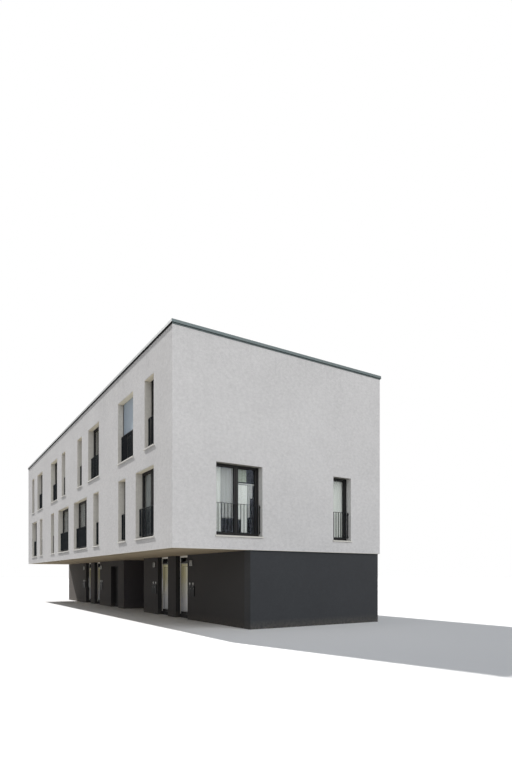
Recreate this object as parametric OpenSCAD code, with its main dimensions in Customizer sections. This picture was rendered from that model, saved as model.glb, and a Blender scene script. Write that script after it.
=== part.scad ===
/* [Row] */
// Width of one house, from one party line to the next
house_w = 6025; // [5800:25:6600]
// Depth of the row from the front face to the rear face
row_depth = 8150; // [7600:50:9200]
// Thickness of the white outer walls
wall_t = 400; // [340:10:440]
// Height of the white volume's lower edge above the ground
soffit_z = 2480; // [2400:10:2700]
// Height from one floor to the next
storey_h = 2820; // [2760:10:3000]
// Height of the coping's top above the second floor's window heads
parapet_h = 1020; // [900:10:1300]

/* [Floors and roof] */
// Thickness of the floor plates with their screed
slab_t = 310; // [250:10:340]
// Thickness of the soffit lining under the overhang
soffit_t = 60; // [40:5:100]
// Height of the ground floor above the ground outside
ground_floor_z = 150; // [120:10:180]
// Height of the gravel roof above the roof plate
roof_fill_t = 210; // [150:10:260]

/* [Ground storey] */
// Depth of the porch under the overhang
porch_d = 2630; // [2300:10:2900]
// Setback of the dark ground storey from the white faces
base_setback = 50; // [20:5:80]
// Thickness of the wall that holds the entrance doors
entry_wall_t = 300; // [295:5:340]
// Thickness of the niche's walls
niche_wall_t = 200; // [150:10:200]
// Width of the open niche
niche_w = 2890; // [2600:10:2920]
// Place of the niche's left side, measured from the middle of the row to the right
niche_offset = -130; // [-160:5:-60]
// Depth of the open niche behind the entrance wall's face
niche_d = 1600; // [1300:10:2200]

/* [Windows] */
// Height of a window sill above the floor zone's lower edge
sill_h = 420; // [400:5:460]
// Height of the wall between the window heads and the next floor zone
lintel_h = 160; // [140:5:200]
// Width of the one-leaf windows
narrow_w = 800; // [700:10:860]
// Width of the two-leaf windows
wide_w = 1640; // [1500:10:1680]
// Opening width from which a window has two leaves
two_leaf_w = 1200; // [1000:10:1400]
// Width of the two-leaf windows in the middle houses' first floor
middle_w = 2340; // [2200:10:2400]
// Distance of the first windows from the house's outer line
near_s = 1240; // [1150:10:1300]
// Distance of the upper wide windows from the house's outer line
upper_wide_s = 3140; // [3050:10:3200]
// Distance of the lower narrow windows from the house's outer line
lower_narrow_s = 3950; // [3850:10:4000]
// Distance of the middle houses' wide windows from the row's middle
middle_s = 540; // [450:10:600]
// Distance of the gable windows from the nearest corner
gable_s = 1405; // [1350:5:1600]
// Depth of the window frames behind the outer face
reveal_d = 230; // [210:5:240]
// Width of the window frame's face
frame_w = 60; // [50:1:70]
// Depth of the window frame
frame_d = 80; // [70:1:90]
// Width of a window leaf's face
sash_w = 58; // [50:1:65]
// Width of the post between two leaves
mullion_w = 40; // [30:1:60]
// Step from the frame's face back to the leaf's face
sash_step = 12; // [6:1:18]
// Thickness of the insulating glass
glass_t = 24; // [20:1:28]

/* [Sills] */
// Distance that a sill stands out from the wall
sill_out = 35; // [25:1:60]
// Distance that a sill reaches past the opening at each side
sill_side = 30; // [15:1:40]
// Height of the sill's front nose
sill_nose = 45; // [35:1:60]
// Thickness of the sill's sheet
sill_sheet = 4; // [3:0.5:6]
// Fall of the sill from the frame to its nose
sill_fall = 18; // [10:1:24]

/* [Railings] */
// Height of the railings above the sill
rail_h = 1000; // [900:10:1100]
// Height of the lower rail above the sill
rail_low = 90; // [70:5:130]
// Depth of the railing behind the outer face
rail_in = 120; // [90:5:130]
// Depth of the flat rails and posts
rail_d = 40; // [30:1:50]
// Thickness of the flat rails and posts
rail_t = 10; // [8:1:12]
// Width of the flat railing bars
bar_w = 12; // [10:1:16]
// Depth of the flat railing bars
bar_d = 25; // [16:1:28]
// Largest distance between bar centres
bar_pitch = 120; // [100:5:140]
// Gap between a railing's end post and the wall
rail_gap = 18; // [12:1:25]
// Height of the lugs that fix a railing to the wall
lug_h = 40; // [30:1:60]
// Thickness of the lugs that fix a railing to the wall
lug_t = 12; // [8:1:16]
// Distance of the lugs from the lower and the upper rail's outer edge
lug_end = 40; // [20:5:80]

/* [Roller shutter] */
// Height of one slat of the roller shutter
slat_h = 40; // [30:1:50]
// Thickness of the roller shutter's curtain
slat_t = 12; // [9:1:14]
// Height of a slat's slanted edge
slat_bevel = 10; // [6:1:14]
// Depth of the groove between two slats
slat_groove = 4; // [2:0.5:6]
// Number of slats that hang below the window head
slat_count = 30; // [10:1:40]
// Width of the roller shutter's guides
guide_w = 30; // [24:1:40]
// Depth of the roller shutter's guides
guide_d = 34; // [30:1:40]
// Width of the slot in a guide that holds the curtain
guide_slot = 18; // [16:1:20]
// Depth of the slot in a guide that holds the curtain
guide_bite = 18; // [12:1:20]
// Gap between a guide's foot and the sill
guide_gap = 14; // [8:1:20]

/* [Coping] */
// Height of the coping's outer face
coping_h = 95; // [85:5:150]
// Height of the coping's inner face
coping_in_h = 90; // [60:5:120]
// Distance of the coping's faces from the wall
coping_out = 35; // [25:1:40]
// Thickness of the coping's sheet
coping_sheet = 4; // [3:0.5:6]
// Size of the drip that turns out at the coping's lower edge
drip = 9; // [6:1:9]

/* [Entrance doors] */
// Width of an entrance doorway
door_w = 1120; // [1040:10:1180]
// Distance of an entrance doorway from the party line
door_s = 410; // [360:10:460]
// Depth of an entrance door's frame behind the wall's face
door_recess = 190; // [180:5:200]
// Width of the door frame's face
door_frame_w = 70; // [60:1:80]
// Depth of the door frame
door_frame_d = 80; // [70:1:84]
// Height of the entrance door leaf's top above the ground
door_top = 2170; // [2100:5:2200]
// Thickness of a door leaf
leaf_t = 60; // [50:1:62]
// Width of the leaf's side and top members
stile_w = 110; // [90:1:140]
// Height of the leaf's lower member
kick_h = 105; // [90:5:160]
// Thickness of the leaf's satin panel
panel_t = 28; // [20:1:36]
// Thickness of the kick plate
kick_t = 2; // [1.5:0.5:4]
// Distance of the kick plate's top from the panel
kick_edge = 14; // [8:1:24]
// Gap between a leaf and its frame at the hinges and the head
hinge_gap = 5; // [5:0.5:8]
// Gap between a leaf and its frame at the lock, and above the floor
lock_gap = 8; // [8:0.5:12]

/* [Store door] */
// Width of the store's doorway
store_w = 1230; // [1100:10:1300]
// Distance of the store's doorway from the middle of the row
store_s = 1080; // [1000:10:1150]
// Height of the store's doorway above the ground
store_top = 2190; // [2100:5:2250]
// Depth of the store door's frame behind the wall's face
store_recess = 190; // [180:5:200]

/* [Hinges and handles] */
// Radius of the hinge knuckles
knuckle_r = 9; // [7:0.5:9.5]
// Length of one hinge knuckle
knuckle_h = 50; // [40:1:70]
// Gap between the two knuckles of a hinge
knuckle_gap = 0.3; // [0.2:0.1:0.5]
// Distance of the hinge pin from the leaf's inner face
pin_out = 10; // [10:0.5:11]
// Width of a hinge flap
flap_w = 34; // [26:1:40]
// Thickness of a hinge flap
flap_t = 3; // [3:0.5:4]
// Height of the lowest and highest hinge from the leaf's ends
hinge_end = 200; // [150:5:300]
// Radius of the pull bar
pull_r = 14; // [10:1:18]
// Length of the pull bar
pull_h = 600; // [400:10:1000]
// Distance of the pull bar from the leaf
pull_out = 50; // [40:1:70]
// Height of the pull bar's middle above the ground
pull_z = 1250; // [1150:10:1350]
// Radius of the posts that hold the pull bar
post_r = 7; // [5:0.5:9]
// Distance of the posts from the pull bar's ends
post_in = 28; // [20:2:60]
// Length of the inner door lever
lever_l = 120; // [100:1:140]
// Height of the inner door lever above the ground
lever_z = 1200; // [1100:10:1300]
// Thickness of the inner door lever
lever_t = 14; // [10:1:18]
// Distance of the lever's inner face from the leaf
lever_out = 50; // [40:1:60]
// Radius of the lever's neck
neck_r = 10; // [8:0.5:12]
// Radius of the round plate behind the lever
rose_r = 28; // [24:1:32]
// Thickness of the round plate behind the lever
rose_t = 7; // [5:1:9]

/* [Lamps and boxes] */
// Width of a porch lamp
lamp_w = 170; // [140:5:200]
// Height of a porch lamp
lamp_h = 215; // [180:5:240]
// Depth of a porch lamp
lamp_d = 60; // [45:5:80]
// Height of a porch lamp's middle above the ground
lamp_z = 2160; // [2100:10:2200]
// Distance of the lamps and boxes from the doorway, to their middle
lamp_s = 370; // [340:10:450]
// Width of one letter box; two hang side by side
box_w = 270; // [220:5:280]
// Gap between the two letter boxes
box_gap = 10; // [4:1:20]
// Height of a letter box
box_h = 400; // [360:5:420]
// Depth of a letter box
box_d = 30; // [26:1:40]
// Height of a letter box's middle above the ground
box_z = 1100; // [1080:10:1110]
// Height of the mail slot
mail_h = 32; // [24:1:40]
// Depth of the mail slot
mail_d = 20; // [10:1:22]
// Distance of the mail slot from the box's sides
mail_side = 36; // [25:1:50]
// Distance of the mail slot from the box's top
mail_top = 38; // [25:1:50]
// Width of the bell plate above each letter box
bell_w = 80; // [60:5:120]
// Height of a bell plate
bell_h = 100; // [80:5:120]
// Thickness of a bell plate
bell_t = 14; // [8:1:20]
// Height of a bell plate's middle above the ground
bell_z = 1370; // [1360:5:1400]

/* [Hidden] */

$fn = 32;
eps = 1;
row_l = 4 * house_w + wall_t;
half_l = row_l / 2;
half_d = row_depth / 2;
inner_l = half_l - wall_t;
inner_d = half_d - wall_t;
base_t = wall_t - base_setback;
entry_y = -half_d + porch_d;
entry_in_y = entry_y + entry_wall_t;
first_z = soffit_z + storey_h;
sill_z = [soffit_z + sill_h, soffit_z + sill_h + storey_h];
opening_h = storey_h - sill_h - lintel_h;
head_z = sill_z[1] + opening_h;
top_z = head_z + parapet_h;
wall_top = top_z - coping_sheet;
slab_z = [soffit_z + soffit_t, soffit_z + soffit_t + storey_h, soffit_z + soffit_t + 2 * storey_h];
niche_x0 = niche_offset;
niche_x1 = niche_offset + niche_w;
niche_y = entry_y + niche_d;

// Entrance doorways as [lower x, side of the hinges]; the hinges stand next to the party line
door_x = [house_w + door_s, house_w - door_s - door_w, -house_w + door_s, -house_w - door_s - door_w];
door_side = [1, -1, 1, -1];
store_x = -store_s - store_w;

// Window openings as [lower x, width] along one face, first for the right half of the row
end_line = 2 * house_w;
function mirrored(list) = concat(list, [for (o = list) [-o[0] - o[1], o[1]]]);
first_long = mirrored([
  [end_line - near_s - wide_w, wide_w],
  [end_line - lower_narrow_s - narrow_w, narrow_w],
  [middle_s, middle_w],
  [lower_narrow_s, narrow_w]]);
second_long = mirrored([
  [end_line - near_s - narrow_w, narrow_w],
  [end_line - upper_wide_s - wide_w, wide_w],
  [near_s, narrow_w],
  [upper_wide_s, wide_w]]);
right_gable = [[-half_d + gable_s, wide_w], [half_d - gable_s - narrow_w, narrow_w]];
left_gable = [for (o = right_gable) [-o[0] - o[1], o[1]]];
shutter = second_long[1];

white = [0.92, 0.92, 0.92];
dark = [0.24, 0.25, 0.27];
anthracite = [0.14, 0.14, 0.16];
cream = [0.86, 0.83, 0.76];
metal = [0.80, 0.79, 0.74];
steel = [0.62, 0.63, 0.64];

// Extrudes an outline drawn in the XZ plane from y = 0 to y = d
module upright(d) {
  translate([0, d, 0]) rotate([90, 0, 0]) linear_extrude(d) children();
}

// Puts children drawn on the front face on side k: 0 front, 1 right, 2 rear, 3 left
module on_side(k) {
  reach = (k % 2 == 0) ? half_d : half_l;
  rotate([0, 0, 90 * k]) translate([0, -reach, 0]) children();
}

// Repeats children at the lower left corner of each opening in a list
module at_each(list, z) {
  for (o = list) translate([o[0], 0, z]) children();
}

// White wall along the front or the rear with its window openings
module long_wall(k, z0, z1, list, z_open) {
  color(white) on_side(k) upright(wall_t) difference() {
    translate([-half_l, z0]) square([row_l, z1 - z0]);
    for (o = list) translate([o[0], z_open]) square([o[1], opening_h]);
  }
}

// White gable wall over both upper storeys, between the long walls
module gable_wall(k, list) {
  color(white) on_side(k) upright(wall_t) difference() {
    translate([-inner_d, soffit_z]) square([2 * inner_d, wall_top - soffit_z]);
    for (o = list) translate([o[0], sill_z[0]]) square([o[1], opening_h]);
  }
}

module floor_plate(z, t) {
  translate([-inner_l, -inner_d, z]) cube([2 * inner_l, 2 * inner_d, t]);
}

// Ground plan of the area behind the entrance wall, less the niche and its walls
module ground_plan() {
  difference() {
    union() {
      translate([-inner_l, entry_in_y]) square([2 * inner_l, inner_d - entry_in_y]);
      for (x = door_x) translate([x, entry_y + door_recess])
        square([door_w, entry_wall_t - door_recess + eps]);
      translate([store_x, entry_y + store_recess])
        square([store_w, entry_wall_t - store_recess + eps]);
    }
    translate([niche_x0 - niche_wall_t, entry_y])
      square([niche_w + 2 * niche_wall_t, niche_d + niche_wall_t]);
  }
}

module ground_slab() {
  color(dark) linear_extrude(ground_floor_z) ground_plan();
}

module ground_gable_wall(side) {
  x0 = (side > 0) ? inner_l : -inner_l - base_t;
  color(dark) translate([x0, entry_y, 0])
    cube([base_t, half_d - base_setback - entry_y, soffit_z]);
}

module ground_right_wall() {
  ground_gable_wall(1);
}

module ground_left_wall() {
  ground_gable_wall(-1);
}

module ground_rear_wall() {
  color(dark) translate([-inner_l, inner_d, 0]) cube([2 * inner_l, base_t, soffit_z]);
}

// One length of the entrance wall between two doorways or corners
module entry_length(x0, x1) {
  color(dark) translate([x0, entry_y, 0]) cube([x1 - x0, entry_wall_t, slab_z[0]]);
}

module entry_wall_right() {
  entry_length(door_x[0] + door_w, inner_l);
  entry_length(door_x[1] + door_w, door_x[0]);
  entry_length(niche_x1, door_x[1]);
}

module entry_wall_left() {
  entry_length(store_x + store_w, niche_x0);
  entry_length(door_x[2] + door_w, store_x);
  entry_length(door_x[3] + door_w, door_x[2]);
  entry_length(-inner_l, door_x[3]);
}

module store_lintel() {
  color(dark) translate([store_x, entry_y, store_top])
    cube([store_w, entry_wall_t, slab_z[0] - store_top]);
}

module niche_side_walls() {
  for (x = [niche_x0 - niche_wall_t, niche_x1]) color(dark)
    translate([x, entry_in_y, 0]) cube([niche_wall_t, niche_y - entry_in_y, slab_z[0]]);
}

module niche_back_wall() {
  color(dark) translate([niche_x0 - niche_wall_t, niche_y, 0])
    cube([niche_w + 2 * niche_wall_t, niche_wall_t, slab_z[0]]);
}

// Lining under the overhang, with a tongue into the niche and into each tall doorway
module soffit_lining() {
  color(cream) translate([0, 0, soffit_z]) linear_extrude(soffit_t) union() {
    translate([-inner_l, -inner_d]) square([2 * inner_l, entry_y + inner_d]);
    translate([niche_x0, entry_y - eps]) square([niche_w, niche_d + eps]);
    for (x = door_x) translate([x, entry_y - eps]) square([door_w, entry_wall_t + eps]);
  }
}

module first_floor_slab() {
  color(cream) floor_plate(slab_z[0], slab_t);
}

module second_floor_slab() {
  color(cream) floor_plate(slab_z[1], slab_t);
}

module roof_slab() {
  color(cream) floor_plate(slab_z[2], slab_t);
}

module roof_gravel() {
  color("lightgray") floor_plate(slab_z[2] + slab_t, roof_fill_t);
}

module first_front_wall() {
  long_wall(0, soffit_z, first_z, first_long, sill_z[0]);
}

module first_rear_wall() {
  long_wall(2, soffit_z, first_z, first_long, sill_z[0]);
}

module second_front_wall() {
  long_wall(0, first_z, wall_top, second_long, sill_z[1]);
}

module second_rear_wall() {
  long_wall(2, first_z, wall_top, second_long, sill_z[1]);
}

module right_gable_wall() {
  gable_wall(1, right_gable);
}

module left_gable_wall() {
  gable_wall(3, left_gable);
}

// Bent sheet over a parapet: y runs inwards from the wall's outer face
module coping_profile() {
  inner = wall_t + coping_out;
  polygon([
    [-coping_out, top_z], [inner, top_z],
    [inner, top_z - coping_in_h], [inner - coping_sheet, top_z - coping_in_h],
    [inner - coping_sheet, wall_top], [-coping_out + coping_sheet, wall_top],
    [-coping_out + coping_sheet, top_z - coping_h + drip],
    [-coping_out + coping_sheet - drip, top_z - coping_h],
    [-coping_out - drip, top_z - coping_h],
    [-coping_out, top_z - coping_h + drip]]);
}

// One coping length on side k, mitred at both corners of the row
module coping(k) {
  half = (k % 2 == 0) ? half_l : half_d;
  out = coping_out + drip;
  reach = half + out;
  deep = wall_t + coping_out + out;
  color(metal) on_side(k) intersection() {
    translate([-reach, 0, 0]) rotate([90, 0, 90]) linear_extrude(2 * reach) coping_profile();
    translate([0, 0, top_z - coping_h - eps]) linear_extrude(coping_h + 2 * eps)
      polygon([[-reach, -out], [reach, -out], [reach - deep, deep - out], [-reach + deep, deep - out]]);
  }
}

module coping_long_sides() {
  coping(0);
  coping(2);
}

module coping_gables() {
  coping(1);
  coping(3);
}

// Inner outlines of a window's leaves as [x, width] for an opening w wide
function leaf_spans(w) = (w < two_leaf_w)
  ? [[frame_w, w - 2 * frame_w]]
  : let (half = (w - 2 * frame_w - mullion_w) / 2)
    [[frame_w, half], [frame_w + half + mullion_w, half]];

// Outer frame with its leaves for an opening w wide, from its lower left corner
module window_frame(w) {
  color(anthracite) {
    difference() {
      translate([0, reveal_d, 0]) upright(frame_d) square([w, opening_h]);
      for (s = leaf_spans(w)) translate([s[0], reveal_d - eps, frame_w])
        cube([s[1], frame_d + 2 * eps, opening_h - 2 * frame_w]);
    }
    for (s = leaf_spans(w)) translate([s[0], reveal_d + sash_step, frame_w])
      upright(frame_d - sash_step) difference() {
        square([s[1], opening_h - 2 * frame_w]);
        translate([sash_w, sash_w]) square([s[1] - 2 * sash_w, opening_h - 2 * frame_w - 2 * sash_w]);
      }
  }
}

module window_glass(w) {
  y0 = reveal_d + sash_step + (frame_d - sash_step - glass_t) / 2;
  for (s = leaf_spans(w)) color([0.55, 0.70, 0.75]) translate([s[0] + sash_w, y0, frame_w + sash_w])
    cube([s[1] - 2 * sash_w, glass_t, opening_h - 2 * frame_w - 2 * sash_w]);
}

// Folded sill from the frame to its nose, with a cap at each end outside the wall
module window_sill(w) {
  color(metal) {
    rotate([90, 0, 90]) linear_extrude(w) polygon([
      [reveal_d, 0], [reveal_d, sill_fall + sill_sheet], [-sill_out, sill_sheet],
      [-sill_out, sill_sheet - sill_nose], [-sill_out + sill_sheet, sill_sheet - sill_nose],
      [-sill_out + sill_sheet, 0]]);
    for (x = [-sill_side, w]) translate([x, 0, 0]) rotate([90, 0, 90]) linear_extrude(sill_side)
      polygon([[0, -sill_nose + sill_sheet], [0, sill_fall + sill_sheet], [-sill_out, sill_sheet],
        [-sill_out, sill_sheet - sill_nose]]);
  }
}

// Railing between the reveals: flat rails, end posts and bars, and four lugs
module railing(w) {
  inner_w = w - 2 * rail_gap;
  count = ceil((inner_w - rail_t) / bar_pitch) - 1;
  step = (inner_w - rail_t) / (count + 1);
  color(anthracite) translate([0, rail_in, 0]) {
    upright(rail_d) difference() {
      translate([rail_gap, rail_low]) square([inner_w, rail_h - rail_low]);
      translate([rail_gap + rail_t, rail_low + rail_t])
        square([inner_w - 2 * rail_t, rail_h - rail_low - 2 * rail_t]);
    }
    translate([0, (rail_d - bar_d) / 2, rail_low + rail_t])
      linear_extrude(rail_h - rail_low - 2 * rail_t)
        for (i = [1:count])
          translate([rail_gap + rail_t / 2 + i * step - bar_w / 2, 0]) square([bar_w, bar_d]);
    for (x = [0, w - rail_gap], z = [rail_low + lug_end, rail_h - lug_end - lug_h])
      translate([x, (rail_d - lug_t) / 2, z]) cube([rail_gap, lug_t, lug_h]);
  }
}

module first_window_frames() {
  for (k = [0, 2]) on_side(k) for (o = first_long) translate([o[0], 0, sill_z[0]]) window_frame(o[1]);
  on_side(1) for (o = right_gable) translate([o[0], 0, sill_z[0]]) window_frame(o[1]);
  on_side(3) for (o = left_gable) translate([o[0], 0, sill_z[0]]) window_frame(o[1]);
}

module second_window_frames() {
  for (k = [0, 2]) on_side(k) for (o = second_long) translate([o[0], 0, sill_z[1]]) window_frame(o[1]);
}

module first_window_glass() {
  for (k = [0, 2]) on_side(k) for (o = first_long) translate([o[0], 0, sill_z[0]]) window_glass(o[1]);
  on_side(1) for (o = right_gable) translate([o[0], 0, sill_z[0]]) window_glass(o[1]);
  on_side(3) for (o = left_gable) translate([o[0], 0, sill_z[0]]) window_glass(o[1]);
}

module second_window_glass() {
  for (k = [0, 2]) on_side(k) for (o = second_long) translate([o[0], 0, sill_z[1]]) window_glass(o[1]);
}

module first_sills() {
  for (k = [0, 2]) on_side(k) for (o = first_long) translate([o[0], 0, sill_z[0]]) window_sill(o[1]);
  on_side(1) for (o = right_gable) translate([o[0], 0, sill_z[0]]) window_sill(o[1]);
  on_side(3) for (o = left_gable) translate([o[0], 0, sill_z[0]]) window_sill(o[1]);
}

module second_sills() {
  for (k = [0, 2]) on_side(k) for (o = second_long) translate([o[0], 0, sill_z[1]]) window_sill(o[1]);
}

module first_railings() {
  for (k = [0, 2]) on_side(k) for (o = first_long) translate([o[0], 0, sill_z[0]]) railing(o[1]);
  on_side(1) for (o = right_gable) translate([o[0], 0, sill_z[0]]) railing(o[1]);
  on_side(3) for (o = left_gable) translate([o[0], 0, sill_z[0]]) railing(o[1]);
}

module second_railings() {
  for (k = [0, 2]) on_side(k) for (o = second_long) translate([o[0], 0, sill_z[1]]) railing(o[1]);
}

// Curtain of slats between its guides, over the upper wide window of the right house
module roller_shutter() {
  x0 = shutter[0] + guide_w - guide_bite;
  y0 = reveal_d - (guide_d + slat_t) / 2;
  slat = [[slat_groove, 0], [0, slat_bevel], [0, slat_h - slat_bevel], [slat_groove, slat_h]];
  color([0.82, 0.84, 0.86]) on_side(0) translate([x0, y0, head_z])
    rotate([90, 0, 90]) linear_extrude(shutter[1] - 2 * (guide_w - guide_bite)) polygon(concat(
      [for (i = [0:slat_count - 1], p = slat) [p[0], -i * slat_h - p[1]]],
      [[slat_t, -slat_count * slat_h], [slat_t, 0]]));
}

module shutter_guides() {
  foot = sill_fall + sill_sheet + guide_gap;
  color(anthracite) on_side(0) for (side = [0, 1])
    translate([shutter[0] + side * shutter[1], reveal_d - guide_d, sill_z[1] + foot])
      mirror([side, 0, 0]) linear_extrude(opening_h - foot) difference() {
        square([guide_w, guide_d]);
        translate([guide_w - guide_bite, (guide_d - guide_slot) / 2]) square([guide_bite + eps, guide_slot]);
      }
}

// Puts children drawn for a hinge at x = 0 in doorway i, mirrored where the hinges are at the right
module at_door(i) {
  translate([door_x[i] + (door_side[i] > 0 ? 0 : door_w), entry_y, 0])
    mirror([door_side[i] > 0 ? 0 : 1, 0, 0]) children();
}

module at_store() {
  translate([store_x, entry_y, 0]) children();
}

// Heights of a leaf's hinges, each at the joint between its two knuckles
function hinge_heights(top) = [
  ground_floor_z + lock_gap + hinge_end,
  (ground_floor_z + lock_gap + top - hinge_gap) / 2,
  top - hinge_gap - hinge_end];

// Knuckles and flaps of one leaf: the frame's lie below each joint, the leaf's above
module hinge_half(recess, top, on_leaf) {
  face_y = recess + door_frame_d;
  pin_x = door_frame_w + hinge_gap / 2;
  for (z = hinge_heights(top)) translate([pin_x, face_y, z + (on_leaf ? knuckle_gap : -knuckle_h)]) {
    translate([0, pin_out, 0]) cylinder(r = knuckle_r, h = knuckle_h);
    translate([on_leaf ? 0 : -flap_w, 0, 0]) cube([flap_w, flap_t, knuckle_h]);
  }
}

// Door frame w wide and top high, with an opening between its posts for each span of heights
module door_frame(w, recess, top, spans) {
  difference() {
    translate([0, recess, ground_floor_z]) cube([w, door_frame_d, top - ground_floor_z]);
    for (s = spans) translate([door_frame_w, recess - eps, s[0]])
      cube([w - 2 * door_frame_w, door_frame_d + 2 * eps, s[1] - s[0]]);
  }
}

fanlight_span = [door_top + door_frame_w, soffit_z - door_frame_w];

module door_frames() {
  color(cream) for (i = [0:3]) at_door(i) {
    door_frame(door_w, door_recess, soffit_z, [[ground_floor_z - eps, door_top], fanlight_span]);
    hinge_half(door_recess, door_top, false);
  }
}

module fanlights() {
  color([0.10, 0.12, 0.14]) for (i = [0:3]) at_door(i)
    translate([door_frame_w, door_recess + (door_frame_d - glass_t) / 2, fanlight_span[0]])
      cube([door_w - 2 * door_frame_w, glass_t, fanlight_span[1] - fanlight_span[0]]);
}

store_clear = store_top - door_frame_w;

module store_door_frame() {
  color(dark) at_store() {
    door_frame(store_w, store_recess, store_top, [[ground_floor_z - eps, store_clear]]);
    hinge_half(store_recess, store_clear, false);
  }
}

leaf_x = door_frame_w + hinge_gap;
leaf_z = ground_floor_z + lock_gap;
leaf_w = door_w - 2 * door_frame_w - hinge_gap - lock_gap;
leaf_h = door_top - hinge_gap - leaf_z;
leaf_y = door_recess + door_frame_d - leaf_t;
panel_h = leaf_h - kick_h - stile_w;
store_leaf_w = store_w - 2 * door_frame_w - hinge_gap - lock_gap;
store_leaf_h = store_clear - hinge_gap - leaf_z;
store_leaf_y = store_recess + door_frame_d - leaf_t;

// Leaf of an entrance door with the opening for its satin panel
module door_leaf(i) {
  color(cream) at_door(i) {
    translate([leaf_x, leaf_y, leaf_z]) upright(leaf_t) difference() {
      square([leaf_w, leaf_h]);
      translate([stile_w, kick_h]) square([leaf_w - 2 * stile_w, panel_h]);
    }
    hinge_half(door_recess, door_top, true);
  }
}

module door_panel(i) {
  color([0.85, 0.88, 0.84]) at_door(i)
    translate([leaf_x + stile_w, leaf_y + (leaf_t - panel_t) / 2, leaf_z + kick_h])
      cube([leaf_w - 2 * stile_w, panel_t, panel_h]);
}

// Upright pull bar on two posts in front of a leaf's outer face, and the lever behind it
module pull_and_lever(x, outer_y, inner_y) {
  post = pull_h / 2 - post_in;
  translate([x, outer_y - pull_out, pull_z - pull_h / 2]) cylinder(r = pull_r, h = pull_h);
  for (z = [pull_z - post, pull_z + post]) translate([x, outer_y, z]) rotate([90, 0, 0])
    cylinder(r = post_r, h = pull_out);
  translate([x, inner_y, lever_z]) rotate([-90, 0, 0]) {
    cylinder(r = rose_r, h = rose_t);
    cylinder(r = neck_r, h = lever_out);
  }
  translate([x + neck_r - lever_l, inner_y + lever_out - lever_t, lever_z - neck_r])
    cube([lever_l, lever_t, 2 * neck_r]);
}

// Kick plate, pull bar and lever of an entrance door
module door_fittings(i) {
  color(steel) at_door(i) {
    translate([leaf_x, leaf_y - kick_t, leaf_z]) cube([leaf_w, kick_t, kick_h - kick_edge]);
    pull_and_lever(leaf_x + leaf_w - stile_w / 2, leaf_y, leaf_y + leaf_t);
  }
}

module store_door_leaf() {
  color(dark) at_store() {
    translate([leaf_x, store_leaf_y, leaf_z]) cube([store_leaf_w, leaf_t, store_leaf_h]);
    hinge_half(store_recess, store_clear, true);
  }
}

module store_door_fittings() {
  color(steel) at_store()
    pull_and_lever(leaf_x + store_leaf_w - stile_w / 2, store_leaf_y, store_leaf_y + leaf_t);
}

// Puts children at the middle of the wall space next to doorway i, away from its party line
module beside_door(i) {
  at_door(i) translate([door_w + lamp_s, 0, 0]) children();
}

module porch_lamps() {
  color([0.85, 0.85, 0.82]) for (i = [0:3]) beside_door(i)
    translate([-lamp_w / 2, -lamp_d, lamp_z - lamp_h / 2]) cube([lamp_w, lamp_d, lamp_h]);
}

// Two boxes hang beside each door, one on either side of the lamp's middle line
module each_box() {
  for (i = [0:3], side = [-1, 1]) beside_door(i)
    translate([side * (box_w + box_gap) / 2, 0, 0]) children();
}

module letter_boxes() {
  color(anthracite) each_box() difference() {
    translate([-box_w / 2, -box_d, box_z - box_h / 2]) cube([box_w, box_d, box_h]);
    translate([-box_w / 2 + mail_side, -box_d - eps, box_z + box_h / 2 - mail_top - mail_h])
      cube([box_w - 2 * mail_side, mail_d + eps, mail_h]);
  }
}

module bell_plates() {
  color(anthracite) each_box()
    translate([-bell_w / 2, -bell_t, bell_z - bell_h / 2]) cube([bell_w, bell_t, bell_h]);
}

module door_1_leaf() {
  door_leaf(0);
}

module door_1_panel() {
  door_panel(0);
}

module door_1_fittings() {
  door_fittings(0);
}

module door_2_leaf() {
  door_leaf(1);
}

module door_2_panel() {
  door_panel(1);
}

module door_2_fittings() {
  door_fittings(1);
}

module door_3_leaf() {
  door_leaf(2);
}

module door_3_panel() {
  door_panel(2);
}

module door_3_fittings() {
  door_fittings(2);
}

module door_4_leaf() {
  door_leaf(3);
}

module door_4_panel() {
  door_panel(3);
}

module door_4_fittings() {
  door_fittings(3);
}

ground_slab();
ground_right_wall();
ground_left_wall();
ground_rear_wall();
entry_wall_right();
entry_wall_left();
store_lintel();
niche_side_walls();
niche_back_wall();
soffit_lining();
first_floor_slab();
second_floor_slab();
roof_slab();
roof_gravel();
first_front_wall();
first_rear_wall();
second_front_wall();
second_rear_wall();
right_gable_wall();
left_gable_wall();
coping_long_sides();
coping_gables();
first_window_frames();
second_window_frames();
first_window_glass();
second_window_glass();
first_sills();
second_sills();
first_railings();
second_railings();
roller_shutter();
shutter_guides();
door_frames();
fanlights();
store_door_frame();
porch_lamps();
letter_boxes();
bell_plates();
door_1_leaf();
door_1_panel();
door_1_fittings();
door_2_leaf();
door_2_panel();
door_2_fittings();
door_3_leaf();
door_3_panel();
door_3_fittings();
door_4_leaf();
door_4_panel();
door_4_fittings();
store_door_leaf();
store_door_fittings();
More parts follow.
